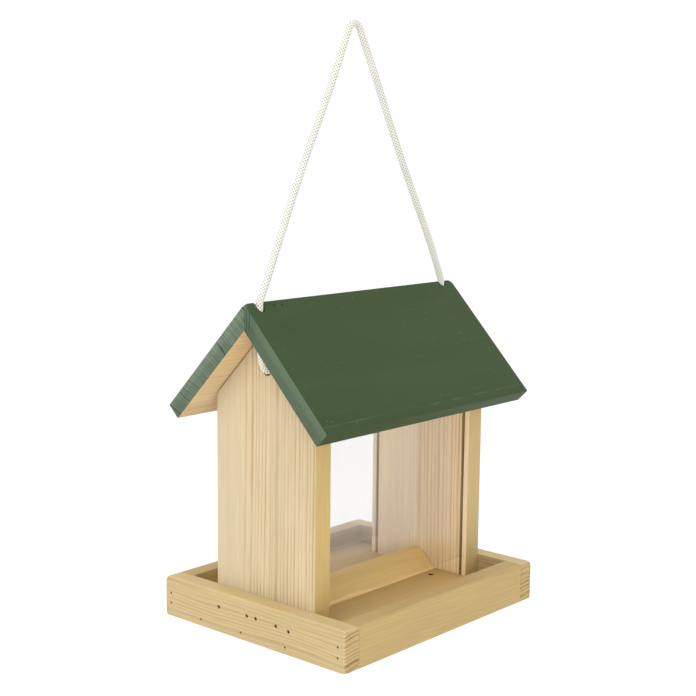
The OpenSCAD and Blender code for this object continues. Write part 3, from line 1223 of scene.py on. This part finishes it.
@dataclass
class Tray:
    """Four rails nailed round a floor board.

    Attributes:
        datum: The feeder's place.
        arris: Radius worn on the outer arrises of the rails.
        ease: Radius taken off the other edges.
        pit: Diameter of the pit over a brad that holds a wall.
        small_pit: Diameter of the pit over any other brad.
        pit_depth: Depth of that pit.
        corner_brads, wall_brads, floor_brads: Places of brads on an end rail, as (y, z).
        drain_hole: Diameter of a drain hole.
        drains: Distance of the drain holes from the middle, as (x, y).
        end_heart, side_heart, floor_heart: Distance outwards and height of the middle of
            the log that an end rail, a side rail and the floor were sawn from.
    """

    datum: Datum
    arris: float = 0.003
    ease: float = 0.0005
    pit: float = 0.0024
    small_pit: float = 0.0014
    pit_depth: float = 0.0012
    corner_brads: Places = (
        (0.0755, 0.016), (0.0755, 0.009), (-0.0755, 0.016), (-0.0755, 0.009)
    )
    wall_brads: Places = (
        (0.029, 0.017), (0.003, 0.017), (-0.005, 0.017), (-0.023, 0.0165), (-0.034, 0.0155)
    )
    floor_brads: Places = ((0.046, 0.0045), (0.0085, 0.0045), (-0.031, 0.0045))
    drain_hole: float = 0.004
    drains: tuple[float, float] = (0.059, 0.023)
    end_heart: tuple[float, float] = (0.093, -0.045)
    side_heart: tuple[float, float] = (0.088, -0.060)
    floor_heart: tuple[float, float] = (0.010, -0.050)

    def build(self) -> None:
        """Builds the rails and the floor."""
        for way in (Way.LEFT, Way.RIGHT):
            self.build_end_rail(way)
        for way in (Way.FRONT, Way.BACK):
            self.build_side_rail(way)
        self.build_floor()

    def build_end_rail(self, way: Way) -> None:
        """Builds the rail under one gable, rounded outside and pitted by brads.

        Args:
            way: The end.
        """
        end, side = way.value
        node = f"tray_rail_{end}"
        low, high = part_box(node)
        outer = low.x if side < 0 else high.x
        rail = block(f"end_rail_{end}", low, high)
        inward = Vector((-side, 0, 0))
        middle_y = self.datum.middle.y
        holes = [
            rod(Vector((outer, middle_y + y, low.z + z)), inward, pit, self.pit_depth, PIT_SIDES)
            for places, pit in (
                (self.wall_brads, self.pit),
                (self.corner_brads + self.floor_brads, self.small_pit),
            )
            for y, z in places
        ]
        cut_away(rail, holes)
        outside = between((0, outer), (1, low.y), (1, high.y), (2, high.z))
        round_edges(rail, outside, self.arris, 5)
        ease_sharp_edges(rail, self.ease)
        shade(rail)
        finish = PlanedPine(
            "#c2ac7d",
            "#816234",
            "#b49967",
            # The edge colour is raised as a painted highlight, for the light that falls on the
            # rails' tops from above.
            "#b39e73",
            # The dark groove colour is painted shade in the end grain's grooves, over its darker
            # late wood.
            groove="#5c3f1a",
            contrast=0.45,
            ring=2.5,
            wander=3.5,
            thin=2.0,
        )
        heart = self.datum.at(side * self.end_heart[0], 0, self.end_heart[1])
        cut = Cut(Grain.CROSSWAYS, heart, seed=6.4 + side)
        dress(rail, finish.material(f"planed_pine_end_rail_{end}", cut))
        place(rail, "house", "pine_rail", node)

    def build_side_rail(self, way: Way) -> None:
        """Builds the rail under one eave, between the end rails.

        Args:
            way: The side.
        """
        end, side = way.value
        node = f"tray_rail_{end}"
        low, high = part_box(node)
        outer = low.y if side < 0 else high.y
        rail = block(f"side_rail_{end}", low, high)
        round_edges(rail, between((1, outer), (2, high.z)), self.arris, 5)
        ease_sharp_edges(rail, self.ease)
        shade(rail)
        finish = PlanedPine(
            "#b29864", "#8d6a36", "#c4a46e", "#b29864", contrast=0.16, wander=4.5, thin=2.0
        )
        heart = self.datum.at(0, side * self.side_heart[0], self.side_heart[1])
        cut = Cut(Grain.LENGTHWAYS, heart, seed=9.3 + side)
        dress(rail, finish.material(f"planed_pine_side_rail_{end}", cut))
        place(rail, "house", "pine_rail", node)

    def build_floor(self) -> None:
        """Builds the floor board, with a drain hole near each corner of the house."""
        low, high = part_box("floor_board")
        floor = block("floor_of_tray", low, high)
        ease_sharp_edges(floor, self.ease / 2)
        x, y = self.drains
        thick = high.z - low.z
        corners = [self.datum.at(a * x, b * y, thick) for a in (-1, 1) for b in (-1, 1)]
        holes = [
            rod(corner, Vector((0, 0, -1)), self.drain_hole, 1.5 * thick, DRAIN_SIDES)
            for corner in corners
        ]
        cut_away(floor, holes)
        shade(floor)
        colours = ("#c6a86d", "#9f7c42", "#bf9b64", "#c5a86d")
        finish = PlanedPine(*colours, contrast=0.25, ring=3.0, wander=4.0)
        # The walls of the drain bores get a near-black finish: painted shade inside the holes.
        painted_bore_shade = PlanedPine("#4a3316", "#2e1f0c", "#4a3316", "#4a3316")
        cut = Cut(Grain.LENGTHWAYS, self.datum.at(0, *self.floor_heart), seed=15.7)
        dress(
            floor,
            finish.material("planed_pine_floor", cut),
            painted_bore_shade.material("pine_with_painted_shade_in_bores", cut),
        )
        # Faces inside a drain bore take the painted shade.
        for face in floor.data.polygons:
            off = face.center - self.datum.middle
            out = Vector((abs(off.x) - x, abs(off.y) - y))
            in_bore = out.length < 0.55 * self.drain_hole
            face.material_index = int(in_bore)
        place(floor, "house", "pine_floor", "floor_board")


# ---- house ----


@dataclass
class GableWalls:
    """The two walls that carry the roof, grooved for the panes and bored for the cord.

    Attributes:
        datum: The feeder's place.
        lip: Wood outside each groove.
        groove_width: Width of a pane groove.
        groove_depth: Depth of a pane groove.
        cord_hole: Diameter of the hole for the cord.
        cord_hole_z: Height of that hole above the datum.
        cord_front: How far in front of the ridge line that hole is in the left wall.
        ease: Radius taken off the edges.
        top_ease: Width of the chamfer along the outer edges under the roof.
        heart: Distance outwards and backwards of the middle of a wall's log.
        colours: Of the early wood, the late wood and the edges of the left (-1) and the right
            (1) wall, which come from different boards; the right wall's are also much paler,
            as painted light on its inside face, which lies in shade behind the panes.
    """

    datum: Datum
    lip: float = 0.0038
    groove_width: float = 0.0024
    groove_depth: float = 0.005
    cord_hole: float = 0.007
    cord_hole_z: float = 0.176
    cord_front: float = 0.002
    ease: float = 0.0006
    top_ease: float = 0.0011
    heart: tuple[float, float] = (0.114, 0.043)
    colours: dict[int, tuple[str, str, str]] = field(
        default_factory=lambda: {
            -1: ("#bcab8b", "#9d7a49", "#c0a468"),
            # The right wall's paler colours are painted light on its inside face, which lies in
            # shade behind the panes.
            1: ("#f2dbb3", "#caa168", "#b9a170"),
        }
    )

    def build(self) -> None:
        """Builds both walls."""
        for way in (Way.LEFT, Way.RIGHT):
            self.build_wall(way)

    def build_wall(self, way: Way) -> None:
        """Builds one wall from an upright board.

        Args:
            way: The end.
        """
        end, side = way.value
        node = f"gable_wall_{end}"
        low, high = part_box(node)
        outer, inner = (low.x, high.x) if side < 0 else (high.x, low.x)
        wall = block(f"wall_{end}", low, high)
        peak = Vector((outer, self.datum.middle.y, high.z))
        for y_way in (-1, 1):
            up = Vector((0, y_way * math.sin(ROOF_SLOPE), math.cos(ROOF_SLOPE)))
            slice_off(wall, peak, up)
        round_edges(wall, partial(self.is_under_roof, outer=outer), self.top_ease, 1)
        ease_sharp_edges(wall, self.ease)
        middle_y = self.datum.middle.y
        cutters = []
        for y_way in (-1, 1):
            outside = y_way * ((high.y - low.y) / 2 - self.lip)
            y = sorted((outside, outside - y_way * self.groove_width))
            start = Vector((inner - self.groove_depth, middle_y + y[0], low.z - self.lip))
            end_at = Vector((inner + self.groove_depth, middle_y + y[1], high.z))
            cutters.append(block("groove", start, end_at))
        mouth = self.datum.at(0, -self.cord_front if side < 0 else 0, self.cord_hole_z)
        mouth.x = outer
        through = 2 * abs(outer - inner)
        cutters.append(rod(mouth, Vector((-side, 0, 0)), self.cord_hole, through, HOLE_SIDES))
        cut_away(wall, cutters)
        shade(wall)
        early, late, edge = self.colours[side]
        finish = PlanedPine(
            early, late, "#c9a873", edge, contrast=0.85, wander=0.8, relief=0.2, thin=1.3
        )
        heart = self.datum.at(side * self.heart[0], self.heart[1], 0)
        cut = Cut(Grain.UPRIGHT, heart, seed=21.9 + side)
        dress(wall, finish.material(f"planed_pine_gable_{end}", cut))
        place(wall, "house", "pine_wall", node)

    @staticmethod
    def is_under_roof(
        corners: Sequence[Vector], normal: Vector | None, outer: float
    ) -> bool:
        """Tells whether an edge is an outer edge of the wall's sloping top.

        Args:
            corners: Ends of the edge.
            normal: Not used for an edge.
            outer: Place of the wall's outer face along X.

        Returns:
            True for the two sloping edges of the outer face.
        """
        first, last = corners[0], corners[-1]
        on_face = max(abs(first.x - outer), abs(last.x - outer)) < PLACE_TOLERANCE
        return on_face and min(abs(first.y - last.y), abs(first.z - last.z)) > PLACE_TOLERANCE


@dataclass
class Hopper:
    """The divider and the two panes.

    Attributes:
        datum: The feeder's place.
        divider_top: Share of the divider's width that its flat top has.
        divider_heart: Distance back and height of the middle of the divider's log.
        ease: Radius taken off the divider's edges.
        pane_ease: Width of the panes' polished arrises.
    """

    datum: Datum
    divider_top: float = 7 / 33
    divider_heart: tuple[float, float] = (0.004, -0.010)
    ease: float = 0.0005
    pane_ease: float = 0.00006

    def build(self) -> None:
        """Builds the divider and both panes."""
        self.build_divider()
        finish = ClearAcrylic().material()
        for end in ("front", "back"):
            self.build_pane(finish, end)

    def build_divider(self) -> None:
        """Builds the ridge that sheds the seed to both sides."""
        low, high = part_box("seed_divider")
        divider = block("divider", low, high)
        with edit(divider, Part.FACES, lambda corners, normal: normal.z > 0.9):
            bpy.ops.transform.resize(value=(1, self.divider_top, 1))
        ease_sharp_edges(divider, self.ease)
        shade(divider)
        finish = PlanedPine(
            "#edcd8b", "#c39c5a", "#dab578", "#edcd8b", contrast=0.3, ring=4.0, wander=2.0
        )
        cut = Cut(Grain.LENGTHWAYS, self.datum.at(0, *self.divider_heart), seed=31.3)
        dress(divider, finish.material("planed_pine_divider", cut))
        place(divider, "house", "pine_floor", "seed_divider")

    def build_pane(self, finish: bpy.types.Material, end: str) -> None:
        """Builds one clear pane.

        Args:
            finish: The panes' material.
            end: "front" or "back".
        """
        low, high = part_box(f"window_{end}")
        pane = block(f"pane_{end}", low, high)
        ease_sharp_edges(pane, self.pane_ease)
        shade(pane)
        dress(pane, finish)
        place(pane, f"{end}_window", "acrylic", f"window_{end}")


# ---- roof ----


@dataclass
class Roof:
    """Two boards, mitred and nailed at the ridge.

    Attributes:
        datum: The feeder's place.
        width: Width of a board down its slope.
        thick: Thickness of a board.
        arris: Radius of the eased outer arrises.
        ease: Radius taken off the edges underneath.
        knocked: Radius of the ridge's knocked-off end corners.
        cord_hole: Diameter of the holes for the cord.
        cord_hole_x: Distance of those holes from the middle.
        cord_front: How far in front of the ridge line the left one is.
        brads: Places of the brads along the ridge.
        brad_in: Distance of the brads from the ridge, down the slope.
        pit: Diameter of the pit over a brad.
        hearts: For the front (-1) and the back (1) board, how far down the slope and how far
            under the outside the middle of its log lay, and how far down the slope its end
            grain shows lines.
    """

    datum: Datum
    width: float = 0.101
    thick: float = 0.012
    arris: float = 0.0014
    ease: float = 0.0005
    knocked: float = 0.005
    cord_hole: float = 0.007
    cord_hole_x: float = 0.0935
    cord_front: float = 0.002
    brads: tuple[float, ...] = (-0.081, -0.074, 0.078)
    brad_in: float = 0.004
    pit: float = 0.0014
    hearts: dict[int, tuple[float, float, float]] = field(
        default_factory=lambda: {-1: (-0.028, 0.043, 0.030), 1: (0.180, 0.030, 0.200)}
    )

    def build(self) -> None:
        """Builds both boards."""
        for way in (Way.FRONT, Way.BACK):
            self.build_board(way)

    def build_board(self, way: Way) -> None:
        """Builds one board, rounded outside, bored, and bare underneath.

        Args:
            way: The side.
        """
        end, side = way.value
        node = f"roof_board_{end}"
        low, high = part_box(node)
        ridge = Vector(((low.x + high.x) / 2, self.datum.middle.y, high.z))
        down = Vector((0, side * math.cos(ROOF_SLOPE), -math.sin(ROOF_SLOPE)))
        outward = Vector((0, side * math.sin(ROOF_SLOPE), math.cos(ROOF_SLOPE)))
        spare = 2 * self.thick
        middle = ridge + down * (self.width - spare) / 2 - outward * self.thick / 2
        half = Vector(((high.x - low.x) / 2, (self.width + spare) / 2, self.thick / 2))
        turn = -side * ROOF_SLOPE
        bpy.ops.object.select_all(action="DESELECT")
        bpy.ops.mesh.primitive_cube_add(
            size=1, location=middle, rotation=(turn, 0, 0), scale=2 * half
        )
        board = settle(bpy.context.active_object, f"roof_{end}")
        slice_off(board, ridge, Vector((0, -side, 0)))
        round_edges(board, between((1, ridge.y), (2, high.z)), self.ease, 2)
        for x_way, end_x in ((-1, low.x), (1, high.x)):
            self.knock_off(board, Vector((end_x, ridge.y, ridge.z)), x_way)
        self.bore(board, side, high.z - self.datum.middle.z, down, outward)

        def is_arris(corners: Sequence[Vector], normal: Vector | None, deep: float) -> bool:
            """Says whether an edge is an arris at an end or at the eave, at some depth.

            Args:
                corners: Ends of the edge.
                normal: Not used for an edge.
                deep: How far under the board's outside it lies.

            Returns:
                True for such an edge.
            """
            level = all(abs((c - ridge).dot(outward) + deep) < PLACE_TOLERANCE for c in corners)
            at_end = all(abs(abs(c.x - ridge.x) - half.x) < PLACE_TOLERANCE for c in corners)
            at_eave = all((c - ridge).dot(down) > self.width - PLACE_TOLERANCE for c in corners)
            return level and (at_end or at_eave)

        round_edges(board, partial(is_arris, deep=0), self.arris, 4)
        round_edges(board, partial(is_arris, deep=self.thick), self.ease, 2)
        shade(board)
        heart_down, heart_in, lined = self.hearts[side]
        heart = ridge + down * heart_down - outward * heart_in
        cut = Cut(Grain.LENGTHWAYS, heart, seed=41.0 + side)
        stain = GreenStain() if side < 0 else GreenStain(end="#5e6a5a", thin="#6d7a69")
        stained = stain.material(f"green_stained_pine_{end}", cut, ridge, turn, lined)
        colours = ("#d2b98e", "#ad8853", "#c4a26c", "#d2b98e")
        bare = PlanedPine(*colours, contrast=0.5, ring=2.4, wander=2.0)
        dress(board, stained, bare.material(f"bare_pine_under_roof_{end}", cut))
        for face in board.data.polygons:
            face.material_index = int(face.normal.dot(outward) < -0.9)
        place(board, "roof", "roof_stain", node)

    def bore(self, board: Piece, side: int, top: float, down: Vector, outward: Vector) -> None:
        """Bores the cord holes, and the brads' pits in the front board.

        Args:
            board: The board.
            side: -1 for the front and 1 for the back.
            top: Height of the ridge above the datum.
            down: Direction down the slope.
            outward: Direction square to the board's outside.
        """
        places = ((-self.cord_hole_x, -self.cord_front), (self.cord_hole_x, 0))
        drop = Vector((0, 0, -1))
        through = 3 * self.thick
        holes = [
            rod(self.datum.at(x, y, top), drop, self.cord_hole, through, HOLE_SIDES)
            for x, y in places
        ]
        if side < 0:
            heads = [self.datum.at(x, 0, top) + down * self.brad_in for x in self.brads]
            holes += [rod(head, -outward, self.pit, self.pit / 3, PIT_SIDES) for head in heads]
        cut_away(board, holes)

    def knock_off(self, board: Piece, corner: Vector, x_way: int) -> None:
        """Rounds the upper corner of the ridge's end with three saw cuts.

        Args:
            board: The board.
            corner: The sharp corner of the ridge.
            x_way: -1 at the left end and 1 at the right.
        """
        centre = corner - Vector((x_way * self.knocked, 0, self.knocked))
        for degrees in (22.5, 45.0, 67.5):
            angle = math.radians(degrees)
            outward = Vector((x_way * math.cos(angle), 0, math.sin(angle)))
            slice_off(board, centre + outward * self.knocked, outward)


# ---- everything ----


BRAD_NODES = (
    "window_pins", "rail_corner_nails", "wall_nails", "floor_nails", "divider_nails", "ridge_nails"
)


def dress_brads() -> None:
    """Gives the CAD brads and pins, whose shape is right, their steel."""
    finish = BradSteel().material()
    for node in BRAD_NODES:
        dress(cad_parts[node], finish)
        LOG.info("%s dressed in steel", node)


def main() -> None:
    """Builds the camera and the cord first, and then the rest of the feeder."""
    datum = Datum.from_frame()
    studio = Studio(datum)
    studio.set_camera()
    Cord(datum).build()
    for part in (Tray, GableWalls, Hopper, Roof):
        part(datum).build()
    dress_brads()
    studio.lay_floor()
    studio.light()


if __name__ == "__main__":
    main()
